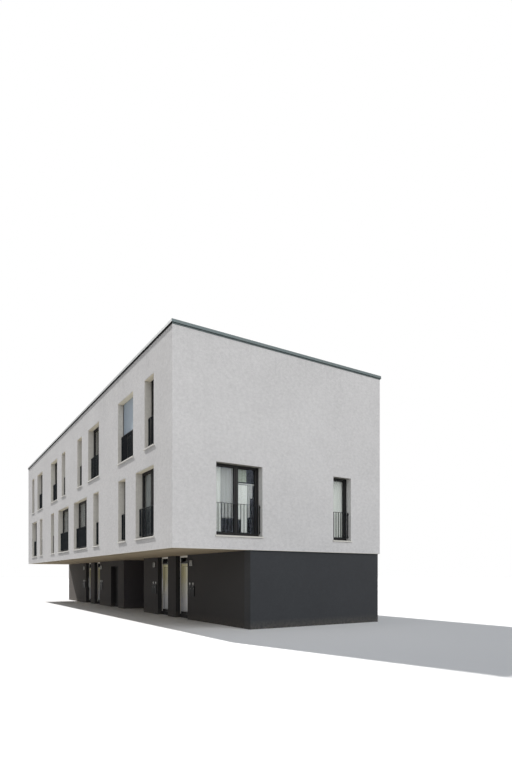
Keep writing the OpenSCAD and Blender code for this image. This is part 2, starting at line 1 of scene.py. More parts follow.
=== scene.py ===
from collections import defaultdict
import bmesh
import bpy
import numpy as np
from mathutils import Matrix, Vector


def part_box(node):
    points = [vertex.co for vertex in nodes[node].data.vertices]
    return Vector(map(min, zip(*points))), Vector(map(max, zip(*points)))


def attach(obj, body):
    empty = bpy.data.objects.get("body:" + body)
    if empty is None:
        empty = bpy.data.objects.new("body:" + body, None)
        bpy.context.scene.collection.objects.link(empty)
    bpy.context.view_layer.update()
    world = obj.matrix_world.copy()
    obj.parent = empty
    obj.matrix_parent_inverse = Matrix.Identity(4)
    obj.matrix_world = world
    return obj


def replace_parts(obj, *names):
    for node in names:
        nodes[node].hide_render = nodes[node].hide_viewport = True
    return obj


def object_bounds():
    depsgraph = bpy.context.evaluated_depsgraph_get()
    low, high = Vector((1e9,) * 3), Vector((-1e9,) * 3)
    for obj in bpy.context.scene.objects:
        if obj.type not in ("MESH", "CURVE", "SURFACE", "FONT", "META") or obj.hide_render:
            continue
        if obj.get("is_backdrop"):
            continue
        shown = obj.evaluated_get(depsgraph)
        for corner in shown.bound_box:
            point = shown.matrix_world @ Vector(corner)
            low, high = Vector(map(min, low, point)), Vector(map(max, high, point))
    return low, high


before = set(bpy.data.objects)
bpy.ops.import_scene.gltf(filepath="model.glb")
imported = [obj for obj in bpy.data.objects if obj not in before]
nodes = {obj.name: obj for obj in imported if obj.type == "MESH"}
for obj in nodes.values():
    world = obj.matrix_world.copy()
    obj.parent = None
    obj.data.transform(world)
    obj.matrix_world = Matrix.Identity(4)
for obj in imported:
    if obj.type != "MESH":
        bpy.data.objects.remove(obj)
scene = bpy.context.scene
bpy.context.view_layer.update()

# Measures of the row in metres, as its solids have them
row = {
    "halfL": 12.25, "halfD": 4.075, "opening": 2.24, "sills": (2.90, 5.72), "entry": -1.445, "floor": 0.150,
    "frame": 0.06, "sash": 0.058, "mullion": 0.04, "twoLeaf": 1.20,
}
lowSill, highSill = row["sills"]
firstLong = [(9.17, 1.64), (7.30, 0.80), (0.54, 2.34), (3.95, 0.80)]  # left edge, width
secondLong = [(10.01, 0.80), (7.27, 1.64), (1.24, 0.80), (3.14, 1.64)]
gables = {1: [(-2.670, 1.64), (1.870, 0.80)], 3: [(1.030, 1.64), (-2.670, 0.80)]}


def bothEnds(openings):
    # the same openings again, mirrored about the middle of the row
    return openings + [(-left - wide, wide) for left, wide in openings]


windows = []  # side, left edge, width, sill height
for side in (0, 2):
    windows += [(side, left, wide, lowSill) for left, wide in bothEnds(firstLong)]
    windows += [(side, left, wide, highSill) for left, wide in bothEnds(secondLong)]
for side, openings in gables.items():
    windows += [(side, left, wide, lowSill) for left, wide in openings]

def placed(name, data):
    # a new object in the scene, at the origin
    made = bpy.data.objects.new(name, data)
    scene.collection.objects.link(made)
    return made


# Camera: the photograph's height, distance and level view with a raised lens
view = {
    "place": (26.248, -10.044, 1.68), "heading": 57.92,
    "lens": 24.80, "sensor": 36.0, "raise": 0.2497, "farthest": 1000,
}
lensData = bpy.data.cameras.new("streetView")
lensData.lens, lensData.sensor_width, lensData.sensor_fit = view["lens"], view["sensor"], "AUTO"
lensData.shift_y, lensData.clip_end = view["raise"], view["farthest"]
streetView = placed("streetView", lensData)
streetView.location = view["place"]
streetView.rotation_euler = (np.pi / 2, 0, np.radians(view["heading"]))
scene.camera = streetView
scene.view_settings.view_transform = "Standard"
print("camera set")


# Small tools for finishes; each finds its node tree through the node or socket it is given
def tone(red, green, blue):
    # screen values from 0 to 255 turned into the linear colour that a shader takes
    share = np.array((red, green, blue)) / 255
    linear = np.where(share <= 0.04045, share / 12.92, ((share + 0.055) / 1.055) ** 2.4)
    return (*linear.tolist(), 1.0)


def put(owner, kind, sockets=None, **settings):
    made = owner.id_data.nodes.new("ShaderNode" + kind)
    for key, value in settings.items():
        setattr(made, key, value)
    for key, value in (sockets or {}).items():
        if isinstance(value, bpy.types.NodeSocket):
            owner.id_data.links.new(value, made.inputs[key])
        else:
            made.inputs[key].default_value = value
    return made


finishes = {}


def startFinish(name, rough=0.5, gloss=0.5, **constants):
    # a new material with one shader; constants go straight onto its sockets
    finish = finishes[name] = bpy.data.materials.new(name)
    finish.use_nodes = True
    tree = finish.node_tree
    tree.nodes.clear()
    shader = put(tree, "BsdfPrincipled")
    constants.update(Roughness=rough, Specular_IOR_Level=gloss)
    for key, value in constants.items():
        shader.inputs[key.replace("_", " ")].default_value = value
    put(tree, "OutputMaterial", {"Surface": shader.outputs[0]})
    return shader, put(tree, "TexCoord").outputs["Object"]


def feed(node, **values):
    # links worked-out values to the node's sockets of those names
    for key, value in values.items():
        node.id_data.links.new(value, node.inputs[key.replace("_", " ")])


def stretched(place, scale):
    return put(place, "Mapping", {"Vector": place, "Scale": scale}).outputs[0]


def grain(place, scale, detail=3.0, rough=0.55):
    sockets = {"Vector": place, "Scale": scale, "Detail": detail, "Roughness": rough}
    return put(place, "TexNoise", sockets).outputs["Fac"]


def ranged(value, low, high, toLow=0.0, toHigh=1.0):
    return put(value, "MapRange", {0: value, 1: low, 2: high, 3: toLow, 4: toHigh}).outputs[0]


def spread(noise, toLow, toHigh):
    # the middle of a noise's values drawn out over that range
    return ranged(noise, 0.3, 0.7, toLow, toHigh)


def wobble(noise, share, middle=0.0):
    return spread(noise, middle - share, middle + share)


def calc(operation, first, second=0.0):
    owner = first if isinstance(first, bpy.types.NodeSocket) else second
    return put(owner, "Math", {0: first, 1: second}, operation=operation).outputs[0]


def times(first, *others):
    for other in others:
        first = calc("MULTIPLY", first, other)
    return first


def plus(first, *others):
    for other in others:
        first = calc("ADD", first, other)
    return first


def size(value):
    return calc("ABSOLUTE", value)


def above(value, limit):
    return calc("GREATER_THAN", value, limit)


def below(value, limit):
    return calc("LESS_THAN", value, limit)


def within(value, low, high):
    return times(above(value, low), below(value, high))


def inverse(share):
    return calc("SUBTRACT", 1.0, share)


def blended(share, first, second):
    return put(share, "Mix", {0: share, 6: first, 7: second}, data_type="RGBA").outputs[2]


def toned(colour, factor):
    # the colour times one number a point
    if not isinstance(colour, bpy.types.NodeSocket):
        colour = colour[:3]
    return put(factor, "VectorMath", {0: colour, "Scale": factor}, operation="SCALE").outputs[0]


def raised(shader, height, distance, strength):
    bump = put(shader, "Bump", {"Height": height, "Distance": distance, "Strength": strength})
    feed(shader, Normal=bump.outputs[0])


def parts(vector):
    return put(vector, "SeparateXYZ", {0: vector}).outputs


def facing(place):
    return parts(put(place, "NewGeometry").outputs["Normal"])


# Finishes of the walls; the edges are distances from the middle, within which a face belongs to a room
# or to the reveals of the openings
wall = {
    "white": (0.655, 0.648, 0.650, 1), "shadedReveal": (0.640, 0.622, 0.580, 1), "head": (0.84, 0.785, 0.65, 1),
    "litGableReveal": (0.80, 0.79, 0.78, 1), "shadedGableHead": (0.32, 0.31, 0.285, 1), "shadedLip": (0.36, 0.305, 0.22, 1),
    "roomShade": (0.085, 0.088, 0.092, 1),
    "patches": 0.04, "floatMarks": 0.07, "specks": 0.16, "stain": 0.07, "grainDepth": 0.0022,
    "roomEdge": (11.856, 3.681), "revealEdge": (11.84, 3.66), "lipTop": 2.5, "stained": (7.6, 8.85),
}


def makeWallRender():
    # float-finished render: soft patches, trowel marks and sand grains, stained under the coping; reveals,
    # heads, the lip over the porch and the room side are drawn in painted light and shade
    shader, place = startFinish("wallRender", 0.93, 0.12)
    x, y, z = parts(place)
    nx, ny, nz = facing(place)
    farX, farY = size(x), size(y)
    (roomX, roomY), (revealX, revealY) = wall["roomEdge"], wall["revealEdge"]
    patches = grain(place, 0.55, 4.0, 0.6)
    floatMarks = grain(stretched(place, (1.0, 1.0, 1.35)), 9.0, 5.0, 0.62)
    specks = grain(place, 95.0, 3.0, 0.7)
    streaks = grain(stretched(place, (5.0, 5.0, 0.22)), 1.6, 4.0, 0.6)
    stain = times(ranged(z, *wall["stained"]), ranged(streaks, 0.45, 0.75), -wall["stain"])
    factor = plus(wobble(patches, wall["patches"]), wobble(floatMarks, wall["floatMarks"]),
                  wobble(specks, wall["specks"]), stain, 1.0)
    sideLong = times(above(size(nx), 0.5), below(farX, revealX))
    sideGable = times(above(size(ny), 0.5), below(farY, revealY))
    # painted light and shade: side reveals of the long walls are drawn darker and warmer, those of the
    # gables paler than the wall
    colour = blended(sideLong, wall["white"], wall["shadedReveal"])
    colour = blended(sideGable, colour, wall["litGableReveal"])
    down, low = below(nz, -0.5), below(z, wall["lipTop"])
    # painted light and shade: window heads are drawn pale and warm as if lit by bounce light, those on the
    # gables dark as if in shade
    headLightAndShade = blended(above(farX, revealX), wall["head"], wall["shadedGableHead"])
    colour = blended(times(down, inverse(low)), colour, headLightAndShade)
    # painted shade: the white wall's underside over the porch is drawn in the soffit's shaded cream
    colour = blended(times(down, low), colour, wall["shadedLip"])
    # painted shade: faces on the room side are drawn dark as the shade inside the rooms
    colour = blended(times(below(farX, roomX), below(farY, roomY)), colour, wall["roomShade"])
    feed(shader, Base_Color=toned(colour, factor))
    sand = grain(place, 230.0, 2.0, 0.6)
    raised(shader, plus(times(sand, 0.5), times(floatMarks, 0.9)), wall["grainDepth"], 0.7)


dark = {
    "dark": (0.0335, 0.037, 0.0425, 1), "porchShade": (0.0235, 0.0235, 0.0255, 1),
    "niche": (0.068, 0.064, 0.070, 1), "dust": (0.115, 0.105, 0.09, 1),
    "dusk": (1.0, 0.88, 0.78, 1), "splash": 0.30, "patches": 0.07, "specks": 0.16, "floatMarks": 0.06,
    "roomX": 11.853, "roomY": (-1.149, 3.678), "nicheX": (-0.133, 2.763), "nicheY": (-1.435, 0.158),
    "porchShadeEdge": (11.84, 3.6),
}


def makeDarkRender():
    # the same render in dark grey, dusty where rain splashes up; the plaster on the room side is drawn dark
    # as painted shade of the rooms
    shader, place = startFinish("darkRender", 0.82, 0.35, Sheen_Weight=0.13, Sheen_Roughness=0.5,
                                Sheen_Tint=dark["dusk"])
    x, y, z = parts(place)
    farX = size(x)
    nicheFront, nicheBack = dark["nicheY"]
    shadeEdgeX, shadeEdgeY = dark["porchShadeEdge"]
    inNiche = times(below(y, nicheBack), within(x, *dark["nicheX"]))
    room = times(within(y, *dark["roomY"]), below(farX, dark["roomX"]), inverse(inNiche))
    patches = grain(place, 0.7, 4.0, 0.6)
    floatMarks = grain(place, 11.0, 4.0, 0.6)
    specks = grain(place, 100.0, 3.0, 0.7)
    splash = times(ranged(z, dark["splash"], 0.0), ranged(floatMarks, 0.3, 0.75, 0.1, 0.75))
    factor = plus(wobble(patches, dark["patches"]), wobble(specks, dark["specks"], 1.0),
                  wobble(floatMarks, dark["floatMarks"]))
    # painted shade: the dark render under the porch roof is drawn darker than at the open ends
    colour = blended(times(below(farX, shadeEdgeX), below(y, shadeEdgeY)), dark["dark"], dark["porchShade"])
    # painted light: faces inside the niche are drawn paler so the deep recess is less dark
    colour = blended(times(inNiche, above(y, nicheFront)), colour, dark["niche"])
    colour = blended(splash, colour, dark["dust"])
    colour = blended(room, colour, wall["roomShade"])
    feed(shader, Base_Color=toned(colour, factor))
    raised(shader, plus(specks, floatMarks), 0.0018, 0.7)


soffit = {"cream": (0.455, 0.376, 0.266, 1), "patches": 0.05, "bands": 0.03, "specks": 0.06}


def makeSoffitRender():
    # smooth render overhead in a cream that is painted shade and warm bounce light, faint roller bands and
    # patches
    shader, place = startFinish("soffitRender", 0.9, 0.25)
    patches = grain(place, 0.6, 4.0, 0.6)
    bands = grain(stretched(place, (0.25, 4.0, 1.0)), 1.0, 3.0, 0.5)
    specks = grain(place, 120.0, 3.0, 0.7)
    factor = plus(wobble(patches, soffit["patches"]), wobble(bands, soffit["bands"], 1.0),
                  wobble(specks, soffit["specks"]))
    feed(shader, Base_Color=toned(soffit["cream"], factor))
    raised(shader, specks, 0.0015, 0.6)


screed = {
    "screed": (0.075, 0.082, 0.085, 1), "shadedCeiling": (0.095, 0.098, 0.102, 1),
    "riser": (0.016, 0.016, 0.017, 1), "clouds": 0.12, "pores": 0.07,
}


def makeScreed():
    # power-floated screed on top, painted plaster below, both drawn dark as painted shade of the rooms; a
    # dark riser under the doors
    shader, place = startFinish("floorScreed", 0.8, 0.3)
    nx, ny, nz = facing(place)
    clouds = grain(place, 1.1, 6.0, 0.65)
    pores = grain(place, 60.0, 4.0, 0.75)
    colour = blended(below(nz, -0.5), screed["screed"], screed["shadedCeiling"])
    riser = times(below(parts(place)[2], row["floor"] - 0.0005), below(ny, -0.5))
    colour = blended(riser, colour, screed["riser"])
    factor = plus(wobble(clouds, screed["clouds"]), wobble(pores, screed["pores"], 1.0))
    feed(shader, Base_Color=toned(colour, factor), Roughness=spread(clouds, 0.62, 0.88))
    raised(shader, pores, 0.0012, 0.5)


gravel = {"pale": (0.46, 0.44, 0.40, 1), "dark": (0.20, 0.19, 0.18, 1), "stones": 26.0, "stoneDepth": 0.014}


def makeGravelStones():
    # round river stones: each cell of the pattern is one stone of its own tone, with painted shade in the
    # gaps between stones
    shader, place = startFinish("gravelStones", 0.88, 0.3)
    stone = put(place, "TexVoronoi", {"Vector": place, "Scale": gravel["stones"]}, feature="F1").outputs
    shadeBetweenStones = ranged(stone["Distance"], 0.35, 0.75, 1.0, 0.35)
    lichen = ranged(grain(place, 0.8, 5.0, 0.6), 0.35, 0.65, 0.86, 1.08)
    colour = blended(parts(stone["Color"])[0], gravel["dark"], gravel["pale"])
    feed(shader, Base_Color=toned(colour, times(shadeBetweenStones, lichen)))
    raised(shader, inverse(stone["Distance"]), gravel["stoneDepth"], 0.9)


def makeMembrane():
    # mineral-faced roofing sheet against the parapet
    shader, place = startFinish("roofMembrane", 0.85, 0.3)
    slate, wear = grain(place, 140.0, 3.0, 0.75), grain(place, 1.4, 4.0, 0.6)
    factor = times(wobble(slate, 0.25, 1.0), wobble(wear, 0.12, 1.0))
    feed(shader, Base_Color=toned((0.13, 0.135, 0.14), factor))
    raised(shader, slate, 0.0015, 0.7)


# Finishes of sheet metal, coated metal, glass and plastics
def makeCoated(name, colour, roughness, dust=0.0, dustColour=(0.35, 0.33, 0.30, 1), coat=0.0, gloss=0.5):
    # powder coat: fine orange peel, slight change of shade, dust lying on upward faces
    shader, place = startFinish(name, Coat_Weight=coat, Coat_Roughness=0.12, gloss=gloss)
    clouds = grain(place, 2.2, 4.0, 0.6)
    base = toned(colour, wobble(clouds, 0.06, 1.0))
    if dust > 0:
        film = ranged(grain(place, 14.0, 5.0, 0.65), 0.35, 0.7, 0.2, 1.0)
        base = blended(times(ranged(facing(place)[2], 0.3, 1.0), film, dust), base, dustColour)
    feed(shader, Base_Color=base, Roughness=spread(clouds, roughness - 0.05, roughness + 0.07))
    raised(shader, grain(place, 620.0, 2.0, 0.5), 0.00025, 0.6)


satinReflection = {"low": tone(240, 240, 242), "high": tone(222, 216, 176), "from": 0.7, "to": 1.7}


def makeDoorSatin(name, coat, rough, shade):
    # satin lacquer and satin-backed glass: painted reflection, warm cream towards the top as of the soffit
    # above and near white below as of the floor; faint cast lines run up them
    shader, place = startFinish(name, rough, 0.45, Coat_Weight=coat, Coat_Roughness=0.08)
    clouds = grain(place, 3.0, 4.0, 0.6)
    lines = grain(stretched(place, (60.0, 60.0, 0.6)), 1.0, 3.0, 0.6)
    share = ranged(plus(parts(place)[2], wobble(clouds, 0.15)), satinReflection["from"], satinReflection["to"])
    colour = blended(share, satinReflection["low"], satinReflection["high"])
    feed(shader, Base_Color=toned(colour, wobble(lines, shade * 0.03, shade)))
    raised(shader, lines, 0.0003, 0.4)


zinc = {
    "zinc": (0.095, 0.120, 0.124, 1), "bloom": (0.15, 0.172, 0.172, 1), "paintedGlint": (0.46, 0.47, 0.47, 1),
    "metal": 0.6,
}


def makeCopingSheet():
    # weathered zinc: cloudy bloom, run-off marks down the faces; the long faces are drawn pale as a painted
    # sun glint
    shader, place = startFinish("copingSheet", Metallic=zinc["metal"])
    clouds = grain(place, 1.3, 5.0, 0.62)
    runs = grain(stretched(place, (9.0, 9.0, 0.8)), 1.5, 4.0, 0.6)
    fine = grain(place, 55.0, 4.0, 0.7)
    bloom = times(ranged(clouds, 0.42, 0.72), spread(runs, 0.3, 1.0))
    glintShare = times(above(size(facing(place)[1]), 0.6), spread(runs, 0.75, 1.0))
    colour = blended(bloom, zinc["zinc"], zinc["bloom"])
    colour = blended(glintShare, colour, zinc["paintedGlint"])
    feed(shader, Base_Color=toned(colour, wobble(fine, 0.05, 1.0)), Roughness=spread(clouds, 0.40, 0.56))
    raised(shader, clouds, 0.004, 0.25)


glass = {
    "mirror": (0.36, 0.40, 0.50, 1), "clear": (0.965, 0.985, 0.98, 1), "fanlight": (0.40, 0.44, 0.46, 1),
    "bend": 1.34,
}


def makePaneGlass(name, tint):
    # clear pane with a green edge; lamps and scattered light pass straight through it
    shader, place = startFinish(name, 0.0, Transmission_Weight=1.0, IOR=glass["bend"],
                                Specular_Tint=glass["mirror"])
    out = shader.outputs[0].links[0].to_node
    streaks = grain(stretched(place, (3.0, 3.0, 0.7)), 2.0, 4.0, 0.6)
    feed(shader, Base_Color=toned(tint, spread(streaks, 0.97, 1.02)))
    rays = put(shader, "LightPath").outputs
    passing = calc("MAXIMUM", rays["Is Shadow Ray"], rays["Is Diffuse Ray"])
    clear = put(shader, "BsdfTransparent", {"Color": tint}).outputs[0]
    feed(out, Surface=put(shader, "MixShader", {0: passing, 1: shader.outputs[0], 2: clear}).outputs[0])


steel = {"steel": (0.56, 0.565, 0.57, 1), "dark": (0.020, 0.019, 0.020, 1), "kickTop": 0.252}


def makeBrushedSteel(name, kickDark=False):
    # fine brush lines along the length, polished a little in patches; a kick plate is blackened
    shader, place = startFinish(name, Metallic=1.0, Anisotropic=0.4)
    lines = grain(stretched(place, (420.0, 420.0, 6.0)), 1.0, 3.0, 0.6)
    clouds = grain(place, 6.0, 4.0, 0.6)
    colour = steel["steel"]
    if kickDark:
        colour = blended(below(parts(place)[2], steel["kickTop"]), colour, steel["dark"])
    feed(shader, Base_Color=toned(colour, spread(lines, 0.94, 1.05)),
         Roughness=plus(spread(lines, 0.0, 0.1), spread(clouds, 0.24, 0.32)))
    raised(shader, lines, 0.0002, 0.4)


def makeOpal():
    # opal acrylic with a soft inner glow of its own white
    shader, place = startFinish("opalCover", Subsurface_Weight=0.35, Subsurface_Radius=(0.9, 0.9, 0.85),
                                Subsurface_Scale=0.02, Coat_Weight=0.3, Coat_Roughness=0.1)
    haze = grain(place, 5.0, 3.0, 0.5)
    feed(shader, Base_Color=toned((0.50, 0.50, 0.475), spread(haze, 0.97, 1.02)),
         Roughness=spread(haze, 0.30, 0.38))


def makeRubber():
    # black rubber with a faint grey bloom
    shader, place = startFinish("sealRubber", 0.7, 0.3)
    bloom = grain(place, 30.0, 3.0, 0.6)
    feed(shader, Base_Color=toned((0.012, 0.012, 0.013), spread(bloom, 0.8, 1.4)))
    raised(shader, bloom, 0.0003, 0.4)


def makeCloth(name, colour, threads):
    # plain weave: sin(warp) times sin(weft) along the cloth's own width and length
    shader, _ = startFinish(name, 0.9, 0.2, Sheen_Weight=0.25, Sheen_Roughness=0.5)
    across = put(shader, "UVMap", uv_map="clothWay").outputs[0]
    u, v, _ = parts(across)
    weave = times(calc("SINE", times(u, threads * 6.2832)), calc("SINE", times(v, threads * 6.2832)))
    slub = grain(stretched(across, (60.0, 3.0, 1.0)), 1.0, 3.0, 0.6)
    factor = plus(spread(slub, 0.96, 1.03), ranged(weave, -1.0, 1.0, -0.03, 0.03))
    feed(shader, Base_Color=toned(colour, factor))
    raised(shader, weave, 0.0004, 0.5)


for make in (makeWallRender, makeDarkRender, makeSoffitRender, makeScreed, makeGravelStones, makeMembrane,
             makeCopingSheet, makeOpal, makeRubber):
    make()
makeBrushedSteel("brushedSteel")
makeBrushedSteel("doorSteel", kickDark=True)
makeCoated("frameCoat", (0.016, 0.0155, 0.016, 1), 0.42, dust=0.08, gloss=0.22)
makeCoated("railingCoat", (0.010, 0.014, 0.018, 1), 0.45, dust=0.08, gloss=0.2)
makeCoated("sillSheet", (0.66, 0.645, 0.60, 1), 0.38, dust=0.35, dustColour=(0.42, 0.40, 0.36, 1))
makeCoated("slatCoat", (0.375, 0.45, 0.53, 1), 0.42, dust=0.25)
makeCoated("slatEndCoat", (0.06, 0.065, 0.07, 1), 0.40)
makeCoated("jambCoat", tone(246, 243, 236), 0.38, dust=0.1)
makeCoated("storeCoat", (0.009, 0.009, 0.009, 1), 0.5, dust=0.05, gloss=0.15)
makeCoated("boxCoat", (0.011, 0.011, 0.012, 1), 0.5, dust=0.06, gloss=0.15)
makeCoated("rodCoat", (0.50, 0.50, 0.485, 1), 0.35)
makeCoated("namePlate", (0.72, 0.72, 0.70, 1), 0.3, coat=0.3)
makeCoated("plateCoat", (0.27, 0.27, 0.265, 1), 0.34, dust=0.1)
makeDoorSatin("doorSatin", 0.4, 0.22, 1.0)
makeDoorSatin("doorCoat", 0.0, 0.40, 1.06)
makePaneGlass("paneGlass", glass["clear"])
makePaneGlass("fanlightGlass", glass["fanlight"])
makeCloth("whiteCloth", (0.78, 0.775, 0.74, 1), 900)
makeCloth("greyCloth", (0.44, 0.435, 0.425, 1), 700)
makeCloth("sageCloth", (0.36, 0.39, 0.32, 1), 700)
makeCloth("duskCloth", (0.29, 0.31, 0.32, 1), 700)
makeCloth("nightCloth", (0.145, 0.155, 0.165, 1), 700)

finishOf = {  # the first word that is in a node's name gives its finish
    "slab": "floorScreed", "gravel": "gravelStones", "coping": "copingSheet", "soffit": "soffitRender",
    "ground": "darkRender", "entry": "darkRender", "niche": "darkRender", "lintel": "darkRender",
    "wall": "wallRender", "window_frames": "frameCoat", "guides": "frameCoat", "window_glass": "paneGlass",
    "sills": "sillSheet", "railings": "railingCoat", "shutter": "slatCoat", "door_frames": "jambCoat",
    "fanlights": "fanlightGlass", "store_door_fittings": "brushedSteel", "store_door": "storeCoat",
    "fittings": "doorSteel", "leaf": "doorCoat", "panel": "doorSatin", "bell": "plateCoat",
    "lamps": "opalCover", "letter": "boxCoat",
}
for name, node in nodes.items():
    node.data.materials.clear()
    node.data.materials.append(finishes[next(key for word, key in finishOf.items() if word in name)])
print("finishes on every node")


# Small tools for shapes; local places are u along a wall, v inwards from its face, z up
def skin(grid, ringed=False):
    # quads between neighbouring closed outlines, and a flat face over each open end
    rows, count = grid.shape[:2]
    index = np.arange(rows * count).reshape(rows, count)
    beside = np.roll(index, -1, 1)
    if ringed:
        faces = [np.stack((index, beside, np.roll(beside, -1, 0), np.roll(index, -1, 0)), -1).reshape(-1, 4)]
    else:
        faces = [np.stack((index[:-1], beside[:-1], beside[1:], index[1:]), -1).reshape(-1, 4),
                 index[:1, ::-1], index[-1:]]
    return grid.reshape(-1, 3), faces


def through(*outlines, ringed=False):
    # a skin through outlines of (x, y, z), where a single number stands for every point
    return skin(np.stack([np.stack(np.broadcast_arrays(*outline), -1) for outline in outlines]), ringed)


def softBlock(u, z, halfU, halfZ, v0, v1, round, steps=2):
    # eight eighths of a ball of that radius, pulled apart to the corners of a block about (u, z)
    half = np.array((halfU, (v1 - v0) / 2, halfZ)) - round
    quarter = np.linspace(0, np.pi / 2, steps + 1)
    turn = np.concatenate([quarter + q * np.pi / 2 for q in range(4)])
    lift = np.concatenate((quarter - np.pi / 2, quarter))[:, None]
    x = np.repeat((1, -1, -1, 1), steps + 1) * half[0] + round * np.cos(lift) * np.cos(turn)
    y = np.repeat((1, 1, -1, -1), steps + 1) * half[1] + round * np.cos(lift) * np.sin(turn)
    rise = np.repeat((-1, 1), steps + 1)[:, None] * half[2] + round * np.sin(lift) + 0 * turn
    return skin(np.stack((x, y, rise), -1) + (u, (v0 + v1) / 2, z))


def turned(profile, origin, axis, steps=12):
    # each outline point (radius, height along the axis) goes once round the axis
    axis = np.array(axis, float)
    first = np.cross(axis, (0, 0, 1) if abs(axis[2]) < 0.9 else (1, 0, 0))
    second = np.cross(axis, first)
    angle = np.linspace(0, 2 * np.pi, steps, endpoint=False)[:, None]
    radius, height = np.array(profile, float).T[:, :, None, None]
    return skin(np.array(origin) + height * axis + radius * (np.cos(angle) * first + np.sin(angle) * second))


def tubeAlong(path, radius, flat, steps=10):
    # a ring of points goes along a path that lies square to the direction flat
    path, flat = np.array(path, float), np.array(flat, float)
    way = np.gradient(path, axis=0)
    way /= np.linalg.norm(way, axis=1)[:, None]
    other = np.cross(way, flat)[:, None]
    angle = np.linspace(0, 2 * np.pi, steps, endpoint=False)[:, None]
    return skin(path[:, None] + radius * (np.cos(angle) * flat + np.sin(angle) * other))


def frameRing(u0, u1, z0, z1, outline):
    # the outline (a inwards from the edge, b in depth) goes round a rectangle with mitred corners
    a, b = np.array(outline, float).T
    left, right, low, high = u0 + a, u1 - a, z0 + a, z1 - a
    return through((left, b, low), (right, b, low), (right, b, high), (left, b, high), ringed=True)


def archRing(u0, u1, z0, z1, outline):
    # the same up one side, over the head and down the other side
    a, b = np.array(outline, float).T
    return through((u0 + a, b, z0), (u0 + a, b, z1 - a), (u1 - a, b, z1 - a), (u1 - a, b, z0))


def rowRing(outline):
    # the outline (v, z) goes round all four walls of the row with mitred corners
    v, z = np.array(outline, float).T
    x, y = row["halfL"] - v, row["halfD"] - v
    return through((x, y, z), (-x, y, z), (-x, -y, z), (x, -y, z), ringed=True)


def straight(outline, u0, u1):
    # the outline (v, z) drawn out from u0 to u1, which may be one number for each outline point
    v, z = np.array(outline, float).T
    return through((u0, v, z), (u1, v, z))


def eased(corners, radius, steps=3):
    # each corner becomes a short curve that leaves and meets its edges at that distance
    corners = np.array(corners, float)
    radius = np.broadcast_to(radius, len(corners))[:, None]
    back, ahead = np.roll(corners, 1, 0) - corners, np.roll(corners, -1, 0) - corners
    start = (corners + radius * back / np.linalg.norm(back, axis=1)[:, None])[:, None]
    end = (corners + radius * ahead / np.linalg.norm(ahead, axis=1)[:, None])[:, None]
    s = np.linspace(0, 1, steps + 1)[None, :, None]
    return ((1 - s) ** 2 * start + 2 * s * (1 - s) * corners[:, None] + s ** 2 * end).reshape(-1, 2)


piles = defaultdict(list)  # the shells of each piece


def onSide(name, side, *shells):
    # quarter turns from the front face (0) to the right (1), rear (2) or left (3) face
    for points, faces in shells:
        x, y = points[:, 0], points[:, 1] - row["halfL" if side % 2 else "halfD"]
        for _ in range(side):
            x, y = -y, x
        piles[name].append((np.stack((x, y, points[:, 2]), -1), faces))


def onDoor(name, hinge, *shells):
    # from the doorway's hinge edge, and the way to its lock, to the row's own place
    edge, way = hinge
    piles[name] += [(points * (way, 1, 1) + (edge, row["entry"], 0), faces) for points, faces in shells]


def makePiece(name, finish, body="building", smoothTo=35, closed=True):
    # joins the shells, merges doubles, turns the faces outwards and gives the piece its finish
    points, faces, start = [], [], 0
    for shellPoints, shellFaces in piles[name]:
        points.append(shellPoints)
        for block in shellFaces:
            faces += (block + start).tolist()
        start += len(shellPoints)
    mesh = bpy.data.meshes.new(name)
    mesh.from_pydata(np.concatenate(points).tolist(), [], faces)
    if closed:
        work = bmesh.new()
        work.from_mesh(mesh)
        bmesh.ops.remove_doubles(work, verts=work.verts, dist=1e-6)
        bmesh.ops.recalc_face_normals(work, faces=work.faces)
        work.to_mesh(mesh)
        work.free()
    mesh.polygons.foreach_set("use_smooth", np.ones(len(mesh.polygons), bool))
    mesh.set_sharp_from_angle(angle=np.radians(smoothTo))
    mesh.materials.append(finishes[finish])
    piece = placed(name, mesh)
    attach(piece, body)
    return piece


# Roof edge: a bead where the white walls end above the porch, the coping in folded lengths with open joints
# over a backing strip, its closure to the wall (black on the long sides as a painted shadow under the
# coping), and the roofing sheet with its clamp bar behind it
coping = {
    "outline": [(-0.044, 8.885), (-0.035, 8.895), (-0.035, 8.980), (0.435, 8.978), (0.435, 8.890),
                (0.4325, 8.890), (0.4325, 8.9768), (-0.0325, 8.9775), (-0.0325, 8.8962), (-0.0422, 8.885)],
    "inner": [(-0.0320, 8.898), (-0.0320, 8.9770), (0.4320, 8.9762), (0.4320, 8.895),
              (0.4308, 8.895), (0.4308, 8.9752), (-0.0308, 8.9758), (-0.0308, 8.898)],
    "bends": (0.0006, 0.002, 0.003, 0.003, 0.0008, 0.0008, 0.001, 0.001, 0.001, 0.0006),
    "length": 3.1, "gap": 0.006, "strip": 0.14,
}
edges = {
    "bead": [(0.002, 2.4930), (-0.0030, 2.4930), (-0.0042, 2.4810), (-0.0030, 2.4768), (0.0280, 2.4768),
             (0.0280, 2.4796), (0.002, 2.4796)],
    "closure": [(0.0, 8.848), (-0.0105, 8.848), (-0.0120, 8.8495), (-0.0120, 8.8955), (-0.0325, 8.8955),
                (-0.0325, 8.8985), (0.0, 8.8985)],
    "upstand": [(0.400, 8.64), (0.440, 8.64), (0.440, 8.698), (0.4045, 8.735), (0.4045, 8.886),
                (0.400, 8.886)],
    "clamp": [(0.4045, 8.854), (0.4085, 8.856), (0.4100, 8.868), (0.4085, 8.880), (0.4045, 8.882)],
}


